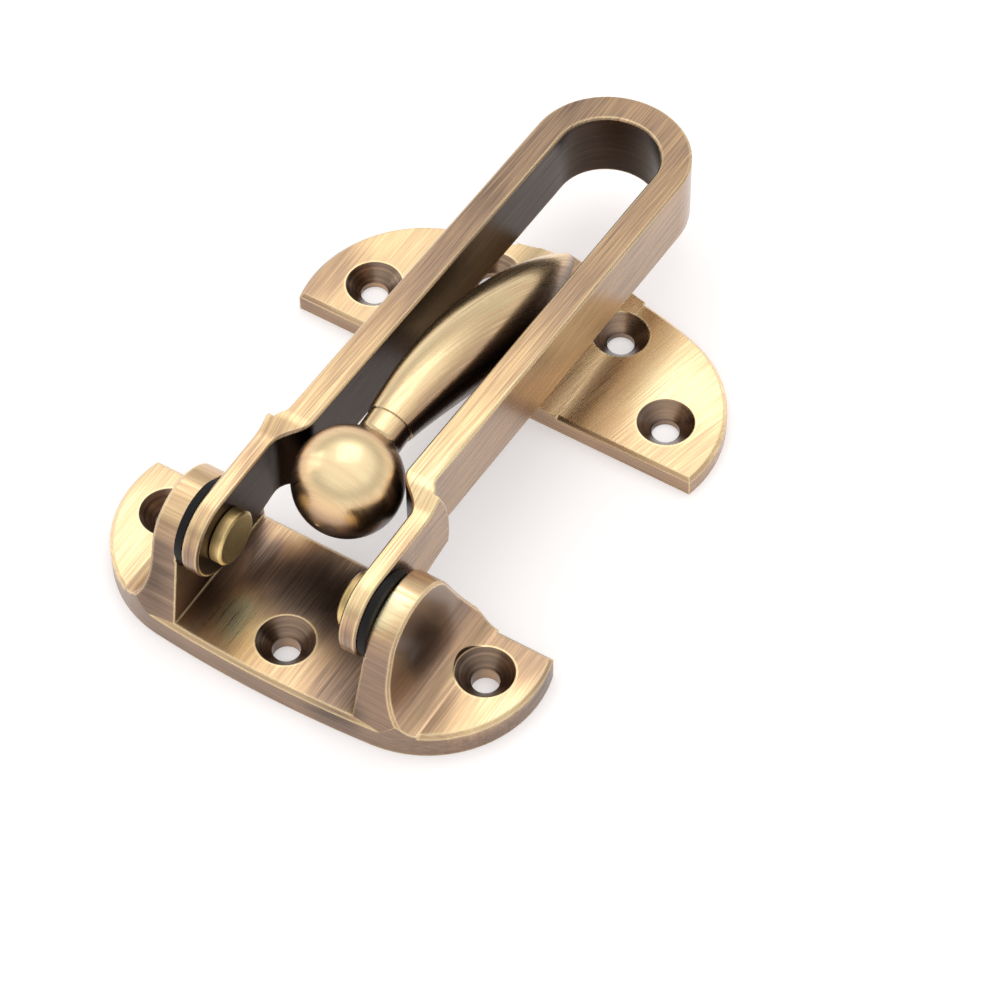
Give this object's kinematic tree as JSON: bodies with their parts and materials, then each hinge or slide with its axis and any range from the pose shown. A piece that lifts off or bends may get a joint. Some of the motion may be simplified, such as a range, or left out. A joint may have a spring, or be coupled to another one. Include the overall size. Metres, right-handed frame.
{
  "type": "door guard",
  "caption": "Swing bar door guard: a looped bar hinged between lugs on a D-shaped plate, its slot made to catch the ball and stem that stand on a second D-shaped plate.",
  "frame": {"origin": "On the back face of the hinge plate, under the middle of the pivot axis", "axes": "+Z out of the mounting surface, +Y from the hinge plate towards the ball plate and the loop's end, +X along the pivot axis"},
  "size_m": [0.07, 0.1093, 0.0304],
  "materials": {
    "cast_plates": "brushed antique bronze, lacquered",
    "bar": "brushed antique bronze, lacquered",
    "ball": "brushed antique bronze, lacquered",
    "pins": "dark antique bronze with a bright rim",
    "washers": "matt black"
  },
  "bodies": {
    "base": {"hinge_plate": "cast_plates", "pivot_pin_left": "pins", "pivot_pin_right": "pins", "friction_washer_left": "washers", "friction_washer_right": "washers", "ball_plate": "cast_plates", "ball_head": "ball"},
    "bar": {"swing_bar": "bar"}
  },
  "joints": [
    {"name": "bar_swing", "type": "hinge", "parent": "base", "child": "bar", "pos_m": [0, 0, 0.018], "axis": [1, 0, 0], "range_deg": [-4, 180]}
  ]
}
